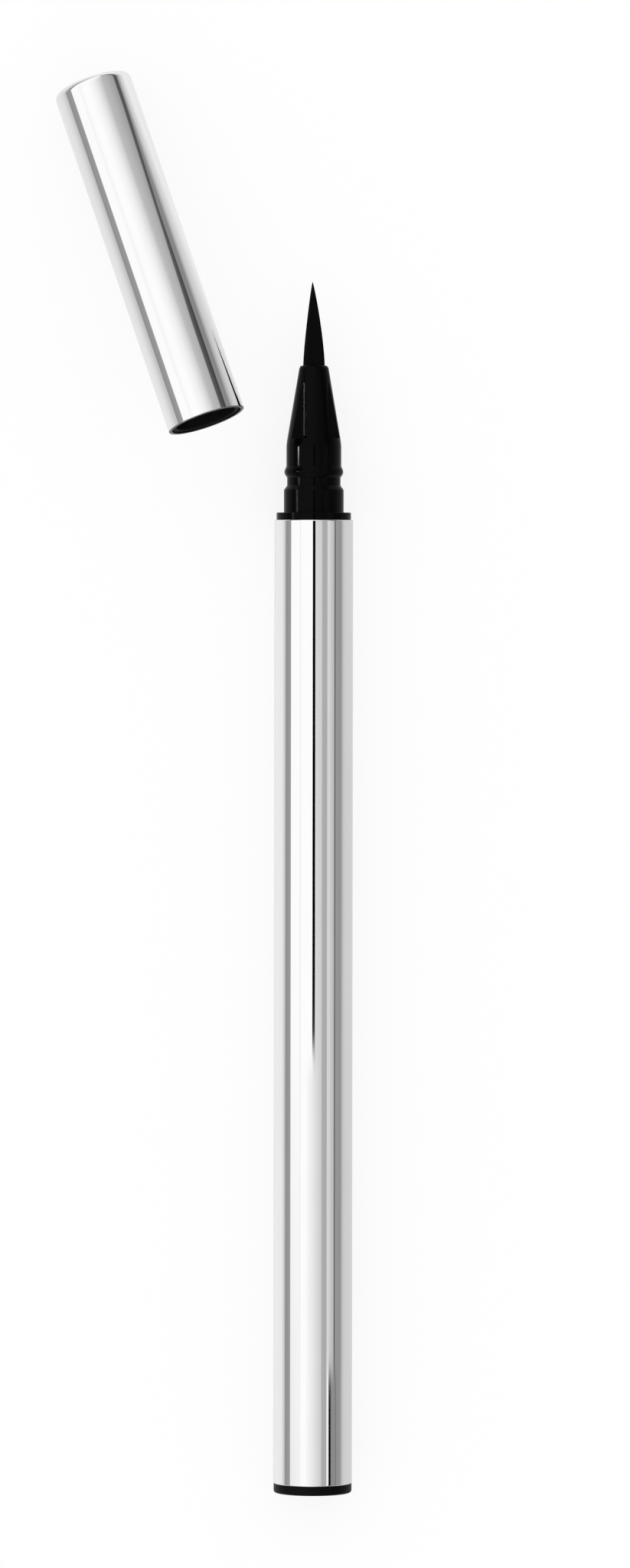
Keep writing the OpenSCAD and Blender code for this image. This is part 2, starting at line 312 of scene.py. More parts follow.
def turn_profile(profile, segments=SEGMENTS, closed=True):
    """Turns a profile of (radius, along) points about the local Z axis."""
    angles = [2 * math.pi * i / segments for i in range(segments)]
    bm = bmesh.new()
    skin_rings(bm, [[(*polar(r, a), z) for a in angles] for r, z in profile], closed)
    return bm


# Node helpers
def empty_nodes(owner):
    """Clears the node tree of a material or world."""
    owner.use_nodes = True
    owner.node_tree.nodes.clear()
    return owner.node_tree


def new_material(name):
    """A material that holds only its shader and its output."""
    material = bpy.data.materials.new(name)
    tree = empty_nodes(material)
    output = tree.nodes.new("ShaderNodeOutputMaterial")
    shader = tree.nodes.new("ShaderNodeBsdfPrincipled")
    tree.links.new(shader.outputs["BSDF"], output.inputs["Surface"])
    return material, tree, shader


def feed(tree, socket, value):
    """Links an output to a socket, or sets the socket to a plain value."""
    if isinstance(value, bpy.types.NodeSocket):
        tree.links.new(value, socket)
    else:
        socket.default_value = value


def arithmetic(tree, operation, a, b):
    node = tree.nodes.new("ShaderNodeMath")
    node.operation = operation
    feed(tree, node.inputs[0], a)
    feed(tree, node.inputs[1], b)
    return node.outputs[0]


def vector_math(tree, operation, a, b=None):
    node = tree.nodes.new("ShaderNodeVectorMath")
    node.operation = operation
    feed(tree, node.inputs[0], a)
    if b is not None:
        feed(tree, node.inputs[1], b)
    return node.outputs["Value" if operation in ("DOT_PRODUCT", "LENGTH") else "Vector"]


def map_range(tree, value, start, end, low=0.0, high=1.0, smooth=False):
    """Maps start to end onto low to high, and stays at low or high outside."""
    node = tree.nodes.new("ShaderNodeMapRange")
    if smooth:
        node.interpolation_type = "SMOOTHSTEP"
    node.inputs["From Min"].default_value = start
    node.inputs["From Max"].default_value = end
    node.inputs["To Min"].default_value = low
    node.inputs["To Max"].default_value = high
    tree.links.new(value, node.inputs["Value"])
    return node.outputs["Result"]


def between(tree, value, low, high, edge):
    """1 from low to high and 0 elsewhere, with soft edges."""
    rise = map_range(tree, value, low - edge, low + edge, smooth=True)
    fall = map_range(tree, value, high + edge, high - edge, smooth=True)
    return arithmetic(tree, "MULTIPLY", rise, fall)


def mixed(tree, share, a, b):
    """A value that goes from a to b as the share goes from 0 to 1."""
    node = tree.nodes.new("ShaderNodeMix")
    node.data_type = "FLOAT"
    feed(tree, node.inputs["Factor"], share)
    feed(tree, node.inputs["A"], a)
    feed(tree, node.inputs["B"], b)
    return node.outputs["Result"]


def tint(tree, share, a, b):
    """A colour that goes from a to b as the share goes from 0 to 1."""
    node = tree.nodes.new("ShaderNodeMix")
    node.data_type = "RGBA"
    feed(tree, node.inputs["Factor"], share)
    for socket, colour in zip(node.inputs[6:8], (a, b)):
        feed(tree, socket, colour if isinstance(colour, bpy.types.NodeSocket) else (*colour, 1))
    return node.outputs[2]


def object_coordinates(tree):
    return tree.nodes.new("ShaderNodeTexCoord").outputs["Object"]


def along_axis(tree, place):
    """Distance in millimetres along a piece's own axis from its local origin."""
    axis = place.to_3x3().col[2]
    far = vector_math(tree, "DOT_PRODUCT", object_coordinates(tree), axis / MM)
    return arithmetic(tree, "SUBTRACT", far, place.translation.dot(axis))


def from_axis(tree, place):
    """Distance in millimetres from a piece's own axis."""
    offset = vector_math(tree, "SUBTRACT", object_coordinates(tree), place.translation * MM)
    across = vector_math(tree, "CROSS_PRODUCT", offset, place.to_3x3().col[2] / MM)
    return vector_math(tree, "LENGTH", across)


# The range that most values of a noise lie in
NOISE_LOW, NOISE_HIGH = 0.3, 0.7


def noise(tree, place, scale, detail, roughness=0.5):
    """Noise of so many features per millimetre across, across and along a piece's own axis."""
    turn = tree.nodes.new("ShaderNodeMapping")
    turn.vector_type = "POINT"
    turn.inputs["Rotation"].default_value = place.to_3x3().inverted().to_euler()
    tree.links.new(object_coordinates(tree), turn.inputs["Vector"])
    stretch = tree.nodes.new("ShaderNodeMapping")
    stretch.vector_type = "POINT"
    stretch.inputs["Scale"].default_value = [s / MM for s in scale]
    tree.links.new(turn.outputs["Vector"], stretch.inputs["Vector"])
    node = tree.nodes.new("ShaderNodeTexNoise")
    node.inputs["Scale"].default_value = 1.0
    node.inputs["Detail"].default_value = detail
    node.inputs["Roughness"].default_value = roughness
    tree.links.new(stretch.outputs["Vector"], node.inputs["Vector"])
    return node.outputs["Fac"]


def spread(tree, value, low, high):
    """Maps a noise onto a range."""
    return map_range(tree, value, NOISE_LOW, NOISE_HIGH, low, high)


def bump(tree, value, height, before=None):
    """A bump of a height in metres, laid over an earlier one."""
    node = tree.nodes.new("ShaderNodeBump")
    node.inputs["Strength"].default_value = 1.0
    node.inputs["Distance"].default_value = height
    tree.links.new(value, node.inputs["Height"])
    if before is not None:
        tree.links.new(before, node.inputs["Normal"])
    return node.outputs["Normal"]


# Materials. Colours are linear, and bump heights are in metres.
METAL_DARKER, METAL_LIGHTER = (0.9, 0.9, 0.905), (0.94, 0.94, 0.942)
METAL_ROUGHNESS = (0.015, 0.03)
RIPPLE_HEIGHT, DRAW_LINE_HEIGHT = 0.000002, 0.00000015

# The cap's cut edge and inside, made rougher as unpolished metal and darkened as painted shade,
# and where these fade, in millimetres from the mouth, outwards from the inner wall, and back from
# the closed end
# Painted shade: the dark colour laid on the cap's cut edge and inner wall
PAINTED_SHADE_METAL = (0.05, 0.05, 0.051)
BARE_METAL_ROUGHNESS = 0.35
MOUTH_FADE = (0.07, 0.02)
WALL_FADE = (0.06, 0.01)
END_FADE = (0.1, 0.3)

BLACK_DARKER, BLACK_LIGHTER = (0.0012, 0.0012, 0.0013), (0.0026, 0.0026, 0.0028)
BLACK_ROUGHNESS_SPREAD = 0.02
CLOUD_HEIGHT, GRAIN_HEIGHT = 0.000003, 0.0000002
TEXTURED_DARKER, TEXTURED_LIGHTER = (0.0015, 0.0015, 0.0015), (0.004, 0.004, 0.0042)
TEXTURED_ROUGHNESS = (0.35, 0.5)
TEXTURED_SHINE = 0.07
TEXTURE_HEIGHT = 0.000004
BRISTLE_DARKER, BRISTLE_LIGHTER = (0.001, 0.001, 0.001), (0.0028, 0.0028, 0.003)
BRISTLE_ROUGHNESS = (0.4, 0.6)
BRISTLE_SHINE = 0.06
BRISTLE_HEIGHT = 0.000004
HIDDEN_DARKENING = 0.8
HIDDEN_SHINE = 0.4
HIDDEN_HEIGHT = 0.00001


def rough_edge_and_painted_shade_of_cap(tree):
    """1 on the cut edge and the inner wall of the cap's tube, which are made rougher and darkened
    as painted shade, and 0 on its outside.
    """
    along = along_axis(tree, CAP_PLACE)
    cut_edge = map_range(tree, along, *MOUTH_FADE, smooth=True)
    inner_r = BARREL_R - SHELL_WALL
    out = from_axis(tree, CAP_PLACE)
    wall = map_range(tree, out, *(inner_r + f for f in WALL_FADE), smooth=True)
    before_end = map_range(tree, along, *(CAP_LEN - f for f in END_FADE), smooth=True)
    inside = arithmetic(tree, "MULTIPLY", wall, before_end)
    return arithmetic(tree, "MAXIMUM", cut_edge, inside)


def polished_metal(name, place, rough_and_shade_mask=None):
    """Mirror-polished aluminium with faint draw lines along the tube and a slow ripple.

    Where the mask given as the last argument is 1, the metal is made rougher and its colour is
    darkened as painted shade."""
    material, tree, shader = new_material(name)
    shader.inputs["Metallic"].default_value = 1.0
    lines = noise(tree, place, (9, 9, 0.12), detail=3)
    haze = noise(tree, place, (0.5, 0.5, 0.12), detail=3)
    ripple = noise(tree, place, (0.16, 0.16, 0.09), detail=1)
    colour = tint(tree, haze, METAL_DARKER, METAL_LIGHTER)
    roughness = spread(tree, lines, *METAL_ROUGHNESS)
    if rough_and_shade_mask is not None:
        mask = rough_and_shade_mask(tree)
        # Painted shade: the masked cut edge and inner wall get a dark colour, and their rougher
        # finish is unpolished metal
        colour = tint(tree, mask, colour, PAINTED_SHADE_METAL)
        roughness = mixed(tree, mask, roughness, BARE_METAL_ROUGHNESS)
    tree.links.new(colour, shader.inputs["Base Color"])
    tree.links.new(roughness, shader.inputs["Roughness"])
    slow = bump(tree, ripple, RIPPLE_HEIGHT)
    tree.links.new(bump(tree, lines, DRAW_LINE_HEIGHT, slow), shader.inputs["Normal"])
    return material


def moulded_black(name, place, roughness, shine, tone=1.0):
    """Black moulded plastic with a faint grain and soft unevenness. A higher tone is paler."""
    material, tree, shader = new_material(name)
    shader.inputs["Specular IOR Level"].default_value = shine
    grain = noise(tree, place, (14, 14, 14), detail=2)
    cloud = noise(tree, place, (0.9, 0.9, 0.35), detail=2)
    darker, lighter = [tone * c for c in BLACK_DARKER], [tone * c for c in BLACK_LIGHTER]
    tree.links.new(tint(tree, cloud, darker, lighter), shader.inputs["Base Color"])
    low, high = roughness - BLACK_ROUGHNESS_SPREAD, roughness + BLACK_ROUGHNESS_SPREAD
    tree.links.new(spread(tree, cloud, low, high), shader.inputs["Roughness"])
    slow = bump(tree, cloud, CLOUD_HEIGHT)
    tree.links.new(bump(tree, grain, GRAIN_HEIGHT, slow), shader.inputs["Normal"])
    return material


def grained(name, place, scale, detail, grain_roughness, darker, lighter,
            roughness, shine, height):
    """A material whose colour, roughness and bump all follow one grain."""
    material, tree, shader = new_material(name)
    shader.inputs["Specular IOR Level"].default_value = shine
    grain = noise(tree, place, scale, detail, grain_roughness)
    tree.links.new(tint(tree, grain, darker, lighter), shader.inputs["Base Color"])
    tree.links.new(spread(tree, grain, *roughness), shader.inputs["Roughness"])
    tree.links.new(bump(tree, grain, height), shader.inputs["Normal"])
    return material


def textured_black(name, place):
    """The fine even texture of the plug and the seal."""
    return grained(name, place, (11, 11, 11), 4, 0.6, TEXTURED_DARKER, TEXTURED_LIGHTER,
                   TEXTURED_ROUGHNESS, TEXTURED_SHINE, TEXTURE_HEIGHT)


def bristle_black(name):
    """Fine black fibres that hold ink."""
    return grained(name, PEN_PLACE, (16, 16, 0.7), 2, 0.5, BRISTLE_DARKER, BRISTLE_LIGHTER,
                   BRISTLE_ROUGHNESS, BRISTLE_SHINE, BRISTLE_HEIGHT)


def hidden_material(name, colour, scale, roughness):
    """A moulded, fibrous or film material for what the pen holds inside."""
    darker = [c * HIDDEN_DARKENING for c in colour]
    return grained(name, PEN_PLACE, scale, 3, 0.5, darker, colour,
                   roughness, HIDDEN_SHINE, HIDDEN_HEIGHT)


METAL_PEN = polished_metal("polished_metal_pen", PEN_PLACE)
METAL_CAP = polished_metal("polished_metal_cap", CAP_PLACE, rough_and_shade_mask=rough_edge_and_painted_shade_of_cap)
BLACK_PEN = moulded_black("gloss_black_pen", PEN_PLACE, roughness=0.08, shine=0.045)
BLACK_CAP = moulded_black("matt_black_cap", CAP_PLACE, roughness=0.55, shine=0.02, tone=5.0)
PLUG_BLACK = textured_black("satin_black", PEN_PLACE)
SEAL_BLACK = textured_black("seal_black", CAP_PLACE)
BRISTLE = bristle_black("bristle_black")


# Pen pieces
def barrel_shell():
    profile = round_corners([
        (BARREL_R - SHELL_WALL, RING_LEN, SHELL_INSIDE_ROUND),
        (BARREL_R, RING_LEN, RIM_ROUND),
        (BARREL_R, TUBE_FRONT, RIM_ROUND),
        (BARREL_R - SHELL_WALL, TUBE_FRONT, SHELL_INSIDE_ROUND),
    ])
    return finish_mesh("barrel_tube", turn_profile(profile, TUBE_SEGMENTS), PEN_PLACE, METAL_PEN,
                       "pen", "barrel_shell")


def inner_barrel():
    wall_back = TUBE_FRONT - FRONT_WALL
    profile = round_corners([
        (INNER_BORE_R, RING_LEN, 0),
        (INNER_R, RING_LEN, 0),
        (INNER_R, TUBE_FRONT, 0),
        (COLLAR_R, TUBE_FRONT, COLLAR_FOOT_ROUND),
        (COLLAR_R, COLLAR_FRONT, COLLAR_ROUND),
        (SEAT_R, COLLAR_FRONT, COLLAR_FOOT_ROUND),
        (SEAT_R, SEAT_FRONT, SEAT_ROUND),
        (GROOVE_R, SOCKET_FRONT, SEAT_FRONT_ROUND),
        (SOCKET_R, SOCKET_FRONT, 0),
        (SOCKET_R, wall_back, 0),
        (INNER_BORE_R, wall_back, 0),
    ])
    return finish_mesh("collar_and_seat", turn_profile(profile), PEN_PLACE, BLACK_PEN,
                       "pen", "inner_barrel")


def end_plug():
    """The ring behind the metal, its spigot, and a plain stem to the plug's front."""
    spigot_r = INNER_BORE_R - FIT_GAP
    spigot_front = RING_LEN + PLUG_SPIGOT_LEN
    profile = round_corners([
        (0.0, 0.0, 0),
        (RING_R, 0.0, RING_ROUND),
        (RING_R, RING_LEN, RING_FRONT_ROUND),
        (spigot_r, RING_LEN, 0),
        (spigot_r, spigot_front, PLUG_SPIGOT_ROUND),
        (STEM_R, spigot_front, 0),
        (STEM_R, PLUG_FRONT, STEM_ROUND),
        (0.0, PLUG_FRONT, 0),
    ])
    return finish_mesh("plug_ring", turn_profile(profile, closed=False), PEN_PLACE, PLUG_BLACK,
                       "pen", "end_plug")


# The nose, with its crossed ribs. Half a quadrant of a ring has so many steps over
# the rib's crown, down the notch's wall and round the fillet.
CROWN_STEPS, WALL_STEPS, FILLET_STEPS = 12, 7, 6
FILLET_CENTRE = RIB_HALF + NOTCH_FILLET
FILLET_REACH = FILLET_CENTRE * math.sqrt(2)
FILLET_NEAR = FILLET_REACH - NOTCH_FILLET
FILLET_FAR = math.hypot(FILLET_CENTRE, RIB_HALF)
HALF_QUADRANT = math.pi / 4

# Steps along the bead, the bend, the ribbed cone, where the fillets run out, and the mouth
BEAD_STEPS, BEND_STEPS, CONE_STEPS, RUNOUT_STEPS, MOUTH_STEPS = 24, 12, 16, 10, 8

# A rib's edges are sharper than this in degrees. They run from just behind the cone's foot
# to this far behind the mouth, and lie this far outside the bore.
RIB_EDGE_ANGLE = 40
RIB_EDGE_BEHIND_FOOT, RIB_EDGE_BEHIND_MOUTH, RIB_EDGE_OFF_BORE = 0.01, 1.0, 0.1


def whole_half(radius, crown_end):
    """Half a quadrant of a plain round ring, from a rib's middle to a notch's middle."""
    angles = [step(0, crown_end, k, CROWN_STEPS) for k in range(CROWN_STEPS)]
    rest = WALL_STEPS + FILLET_STEPS
    angles += [step(crown_end, HALF_QUADRANT, k, rest) for k in range(rest + 1)]
    return [polar(radius, a) for a in angles]


def on_fillet(angle):
    x, y = polar(NOTCH_FILLET, angle)
    return FILLET_CENTRE + x, FILLET_CENTRE + y


def notched_half(radius):
    """Half a quadrant of the ribbed cone, from a rib's middle to a notch's middle."""
    if radius <= FILLET_NEAR:
        return whole_half(radius, HALF_QUADRANT)
    if radius >= FILLET_FAR:
        crown_end = math.asin(RIB_HALF / radius)
        turn_from = -math.pi / 2
    else:
        swing = math.acos((radius ** 2 + FILLET_REACH ** 2 - NOTCH_FILLET ** 2)
                          / (2 * radius * FILLET_REACH))
        crown_end = HALF_QUADRANT - swing
        x, y = polar(radius, crown_end)
        turn_from = math.atan2(y - FILLET_CENTRE, x - FILLET_CENTRE)
    turn_to = -math.pi * 0.75
    crown = [polar(radius, step(0, crown_end, k, CROWN_STEPS)) for k in range(CROWN_STEPS)]
    edge, fillet_start = Vector(polar(radius, crown_end)), Vector(on_fillet(turn_from))
    wall = [edge.lerp(fillet_start, k / WALL_STEPS).to_tuple() for k in range(WALL_STEPS)]
    fillet = [on_fillet(step(turn_from, turn_to, k, FILLET_STEPS))
              for k in range(FILLET_STEPS + 1)]
    return crown + wall + fillet


def nose_ring(half, along):
    """A whole ring from half a quadrant: mirrored about the notch and turned to all four."""
    quadrant = half + [(y, x) for x, y in reversed(half[1:-1])]
    ring = []
    for turn in range(4):
        c, s = polar(1, math.radians(-RIB_ANGLE + 90 * turn))
        ring += [(x * c - y * s, x * s + y * c, along) for x, y in quadrant]
    return ring


def bead_radius(t):
    """Radius at a share t of the bead's length, which swells from the groove to the neck."""
    base = GROOVE_R + (NECK_R - GROOVE_R) * t
    return base + (BEAD_R - base) * math.sin(math.pi * t)


def bend_point(t):
    """The soft bend leaves the neck straight and arrives along the cone."""
    knee = FOOT - (NECK_R - FOOT_R) / CONE_SLOPE
    r = (1 - t * t) * NECK_R + t * t * FOOT_R
    along = (1 - t) ** 2 * NECK_FRONT + 2 * t * (1 - t) * knee + t * t * FOOT
    return r, along


def cone_radius(along):
    return FOOT_R - (along - FOOT) * CONE_SLOPE


def cone_place(radius):
    return FOOT + (FOOT_R - radius) / CONE_SLOPE


def is_rib_edge(edge):
    if len(edge.link_faces) != 2 or edge.calc_face_angle(0) <= math.radians(RIB_EDGE_ANGLE):
        return False
    back, front = FOOT - RIB_EDGE_BEHIND_FOOT, NOSE_FRONT - RIB_EDGE_BEHIND_MOUTH
    return all(back < v.co.z < front
               and math.hypot(v.co.x, v.co.y) > CHAMBER_R + RIB_EDGE_OFF_BORE
               for v in edge.verts)


def front_section():
    """Snap groove, bead, neck and bend, then the ribbed cone, its mouth and the bore behind it."""
    foot_crown = math.asin(RIB_HALF / FOOT_R)
    rings = []

    def plain(r, along, crown=foot_crown):
        rings.append(nose_ring(whole_half(r, crown), along))

    plain(SPIGOT_R, SPIGOT_BACK)
    plain(SPIGOT_R, SOCKET_FRONT)
    plain(GROOVE_R, SOCKET_FRONT)
    plain(GROOVE_R, GROOVE_FRONT - SHADE_GUARD)
    for k in range(BEAD_STEPS + 1):
        plain(bead_radius(k / BEAD_STEPS), step(GROOVE_FRONT, BEAD_FRONT, k, BEAD_STEPS))
    plain(NECK_R, BEAD_FRONT + SHADE_GUARD)
    for k in range(BEND_STEPS + 1):
        plain(*bend_point(k / BEND_STEPS))
    runout, notch_start = cone_place(FILLET_FAR), cone_place(FILLET_NEAR)
    stations = [step(FOOT, runout, k, CONE_STEPS) for k in range(CONE_STEPS)]
    stations += [step(runout, notch_start, k, RUNOUT_STEPS) for k in range(RUNOUT_STEPS + 1)]
    for along in stations:
        rings.append(nose_ring(notched_half(cone_radius(along)), along))
    mouth_back = NOSE_FRONT - MOUTH_ROUND
    plain(cone_radius(mouth_back), mouth_back, HALF_QUADRANT)
    for k in range(1, MOUTH_STEPS + 1):
        x, y = polar(MOUTH_ROUND, math.pi / 2 * k / MOUTH_STEPS)
        plain(MOUTH_R - MOUTH_ROUND + x, mouth_back + y, HALF_QUADRANT)
    for r, along in ((GUIDE_R + GUIDE_BEVEL, NOSE_FRONT),
                     (GUIDE_R, NOSE_FRONT - GUIDE_BEVEL),
                     (GUIDE_R, NOSE_FRONT - GUIDE_LEN),
                     (CHAMBER_R, NOSE_FRONT - GUIDE_LEN),
                     (CHAMBER_R, NECK_FRONT),
                     (CAVITY_R, NECK_FRONT),
                     (CAVITY_R, SPIGOT_BACK)):
        plain(r, along, HALF_QUADRANT)
    bm = bmesh.new()
    skin_rings(bm, rings, closed=True)
    bmesh.ops.remove_doubles(bm, verts=bm.verts, dist=WELD)
    bmesh.ops.recalc_face_normals(bm, faces=bm.faces)
    rib_edges = [e for e in bm.edges if is_rib_edge(e)]
    bmesh.ops.bevel(bm, geom=rib_edges, offset=EDGE_ROUND, segments=2, profile=0.5,
                    affect="EDGES", clamp_overlap=True)
    return finish_mesh("ribbed_nose", bm, PEN_PLACE, BLACK_PEN,
                       "pen", "front_section")


# Brush. A place on it is given by its share of the way from the nose's mouth to the point,
# which is below 0 inside the nose.
def brush_radius(t):
    taper = 1 - t ** BRUSH_FULLNESS
    blunt = math.sqrt(1 - t ** BLUNT_POWER)
    return BRUSH_R * (taper + BLUNT_SHARE * (blunt - taper))


def brush_place(t, angle, lift):
    """A point over the brush's outline, lifted off it in millimetres."""
    outside = max(t, 0)
    x, y = polar(max(brush_radius(outside) + lift, 0.0), angle)
    return Vector((x - BRUSH_LEAN * outside * outside, y, NOSE_FRONT + BRUSH_LEN * t))


def strand_radius(outside, done):
    """Radius at a place on the brush, and at a share done of the fibre's own length."""
    return STRAND_R * (0.25 + 0.75 * (1 - outside ** 2)) * (1 - 0.7 * done ** 3)


def add_strand(bm, rng, angle, start, end):
    """One tapered fibre that lies along the bundle's surface, in it or a little over it."""
    drift = rng.uniform(-STRAND_DRIFT, STRAND_DRIFT)
    height = rng.uniform(*STRAND_HEIGHTS)
    out = Vector((*polar(1, angle), 0))
    side = Vector((-out.y, out.x, 0))
    around = [2 * math.pi * i / STRAND_SIDES for i in range(STRAND_SIDES)]
    rings = []
    for k in range(STRAND_STEPS + 1):
        t = step(start, end, k, STRAND_STEPS)
        outside = max(t, 0)
        r = strand_radius(outside, k / STRAND_STEPS)
        lift = STRAND_RISE * max(height, 0) - r * (STRAND_SINK + max(-height, 0))
        centre = brush_place(t, angle + drift * outside ** STRAND_DRIFT_POWER, lift)
        rings.append([centre + out * (r * math.cos(a)) + side * (r * math.sin(a)) for a in around])
    rows = skin_rings(bm, rings, closed=False)
    bm.faces.new(list(reversed(rows[0])))
    bm.faces.new(rows[-1])


def brush_tip():
    """A fluted core with fine fibres laid over it, all running to the point."""
    rng = random.Random(BRUSH_SEED)
    bm = bmesh.new()
    depths = [rng.uniform(*FLUTE_DEPTH_SHARES) for _ in range(FLUTES)]
    back = -BRUSH_HIDDEN_LEN / BRUSH_LEN
    crowded = [(k / CORE_STEPS) ** CORE_CROWDING for k in range(CORE_STEPS)]
    stations = [back] + crowded + CORE_LAST
    sides = FLUTE_SIDES * FLUTES
    rings = []
    for t in stations:
        fade = 1 - max(t, 0)
        ring = []
        for i in range(sides):
            wave = (1 - math.cos(2 * math.pi * i / FLUTE_SIDES)) / 2
            groove = FLUTE_DEPTH * depths[i // FLUTE_SIDES] * wave
            ring.append(brush_place(t, 2 * math.pi * i / sides, -(CORE_SINK + groove) * fade))
        rings.append(ring)
    rows = skin_rings(bm, rings, closed=False)
    bm.faces.new(list(reversed(rows[0])))
    point = bm.verts.new((-BRUSH_LEAN, 0, BRUSH_POINT - POINT_GAP))
    for i in range(sides):
        bm.faces.new((rows[-1][i], rows[-1][(i + 1) % sides], point))
    for k in range(STRANDS):
        angle = 2 * math.pi * (k + rng.uniform(-STRAND_SCATTER, STRAND_SCATTER)) / STRANDS
        add_strand(bm, rng, angle, back, rng.uniform(*STRAND_ENDS))
    return finish_mesh("brush_fibres", bm, PEN_PLACE, BRISTLE,
                       "pen", "brush_tip", sharp=60)


# Cap pieces
def cap_shell():
    inside_r = BARREL_R - SHELL_WALL
    profile = round_corners([
        (inside_r, 0.0, CAP_LIP_ROUND),
        (BARREL_R, 0.0, RIM_ROUND),
        (BARREL_R, CAP_LEN, CAP_ROUND),
        (0.0, CAP_LEN, 0),
        (0.0, CAP_LEN - CAP_END_WALL, 0),
        (inside_r, CAP_LEN - CAP_END_WALL, CAP_END_INSIDE_ROUND),
    ], steps=12)
    return finish_mesh("cap_tube", turn_profile(profile, TUBE_SEGMENTS), CAP_PLACE, METAL_CAP,
                       "cap", "cap_shell")


def cap_liner():
    profile = round_corners([
        (BORE_R, LINER_RECESS, LINER_LIP_ROUND),
        (LINER_R, LINER_RECESS, LINER_EDGE_ROUND),
        (LINER_R, LINER_BACK, 0),
        (BORE_R, LINER_BACK, 0),
        (BORE_R, STOP_END, 0),
        (STOP_R, STOP_END, 0),
        (STOP_R, BEAD_ROOM_END, LINER_STEP_ROUND),
        (BORE_R, BEAD_ROOM_END, LINER_STEP_ROUND),
        (BORE_R, SNAP_DEPTH + SNAP_HALF, LINER_STEP_ROUND),
        (SNAP_R, SNAP_DEPTH + SNAP_HALF / 4, SNAP_ROUND),
        (SNAP_R, SNAP_DEPTH - SNAP_HALF / 4, SNAP_ROUND),
        (BORE_R, SNAP_DEPTH - SNAP_HALF, LINER_STEP_ROUND),
    ])
    return finish_mesh("liner_sleeve", turn_profile(profile), CAP_PLACE, BLACK_CAP,
                       "cap", "cap_liner")


def inner_seal():
    lip = STOP_END + FIT_GAP
    lip_outside = BORE_R - FIT_GAP
    outside = SEAL_CUP_R + SEAL_WALL
    back = LINER_BACK + SEAL_FLANGE
    profile = round_corners([
        (SEAL_LIP_R, lip, SEAL_LIP_ROUND),
        (lip_outside, lip, SEAL_EDGE_ROUND),
        (lip_outside, SEAL_LIP_BACK, SEAL_ROUND),
        (outside, SEAL_WAIST, SEAL_ROUND),
        (outside, LINER_BACK, 0),
        (LINER_R, LINER_BACK, 0),
        (LINER_R, back, 0),
        (SEAL_CUP_R, back, 0),
        (SEAL_CUP_R, SEAL_END + SEAL_FLANGE, 0),
        (0.0, SEAL_END + SEAL_FLANGE, 0),
        (0.0, SEAL_END, 0),
        (SEAL_CUP_R, SEAL_END, SEAL_CUP_ROUND),
        (SEAL_CUP_R, SEAL_WAIST, SEAL_ROUND),
        (SEAL_LIP_R, SEAL_LIP_BACK, SEAL_ROUND),
    ])
    return finish_mesh("seal_cup", turn_profile(profile, SEAL_SEGMENTS), CAP_PLACE, SEAL_BLACK,
                       "cap", "inner_seal")


def dress_hidden_nodes():
    """The pieces sealed inside the pen keep their CAD solids and get their own finish."""
    looks = {
        "feed_holder": ("natural_plastic", (0.8, 0.8, 0.76), (3, 3, 3), (0.3, 0.45)),
        "ink_feed": ("ink_felt", (0.06, 0.06, 0.065), (9, 9, 0.8), (0.8, 0.95)),
        "reservoir_core": ("ink_fibre", (0.06, 0.06, 0.065), (7, 7, 0.4), (0.85, 0.98)),
        "reservoir_film": ("clear_film", (0.78, 0.84, 0.88), (2, 2, 0.5), (0.08, 0.2)),
    }
    for node, look in looks.items():
        data = frame["nodes"][node].data
        data.materials.clear()
        data.materials.append(hidden_material(*look))


# Stage: what the camera sees as white, and what dull surfaces see all round
WHITE = 1.0
DULL_LEVEL = 0.9

# The floor, in metres: half its size, and how far it lies below the object
FLOOR_HALF = 3.0
FLOOR_DROP = 0.00002

# How brightly the glossy surfaces see the floor, from this far left of the pen to as far right
FLOOR_GLOW_REACH = 0.1
FLOOR_GLOW = [(0.0, 0.415), (0.25, 0.54), (0.36, 0.675), (0.46, 0.73),
              (0.5, 0.6), (0.54, 0.52), (0.57, 0.495), (1.0, 0.265)]

# The floor's own colour, and what brings it up to white for the camera
FLOOR_COLOUR = 0.2
FLOOR_WHITE = WHITE - FLOOR_COLOUR * DULL_LEVEL


def floor_material():
    material = bpy.data.materials.new("floor_white")
    tree = empty_nodes(material)
    output = tree.nodes.new("ShaderNodeOutputMaterial")
    diffuse = tree.nodes.new("ShaderNodeBsdfDiffuse")
    diffuse.inputs["Color"].default_value = (FLOOR_COLOUR, FLOOR_COLOUR, FLOOR_COLOUR, 1)
    glow = tree.nodes.new("ShaderNodeEmission")
    glow.inputs["Color"].default_value = (1, 1, 1, 1)
    path = tree.nodes.new("ShaderNodeLightPath")
    parts = tree.nodes.new("ShaderNodeSeparateXYZ")
    tree.links.new(object_coordinates(tree), parts.inputs[0])
    fall = tree.nodes.new("ShaderNodeValToRGB")
    stops = fall.color_ramp.elements
    while len(stops) < len(FLOOR_GLOW):
        stops.new(1.0)
    for stop, (position, bright) in zip(stops, FLOOR_GLOW):
        stop.position = position
        stop.color = (bright, bright, bright, 1)
    across = map_range(tree, parts.outputs["X"], -FLOOR_GLOW_REACH, FLOOR_GLOW_REACH)
    tree.links.new(across, fall.inputs["Fac"])
    for_metal = arithmetic(tree, "MULTIPLY", path.outputs["Is Glossy Ray"], fall.outputs["Color"])
    for_camera = arithmetic(tree, "MULTIPLY", path.outputs["Is Camera Ray"], FLOOR_WHITE)
    tree.links.new(arithmetic(tree, "ADD", for_metal, for_camera), glow.inputs["Strength"])
    both = tree.nodes.new("ShaderNodeAddShader")
    tree.links.new(diffuse.outputs[0], both.inputs[0])
    tree.links.new(glow.outputs[0], both.inputs[1])
    tree.links.new(both.outputs[0], output.inputs["Surface"])
    return material


def floor():
    """A pale floor that keeps the shadow and shows white to the camera."""
    low = cad_bounds[0].z - FLOOR_DROP
    signs = ((-1, -1), (1, -1), (1, 1), (-1, 1))
    corners = [(FLOOR_HALF * x, FLOOR_HALF * y, low) for x, y in signs]
    mesh = bpy.data.meshes.new("floor")
    mesh.from_pydata(corners, [], [(0, 1, 2, 3)])
    mesh.materials.append(floor_material())
    obj = bpy.data.objects.new("floor", mesh)
    bpy.context.scene.collection.objects.link(obj)


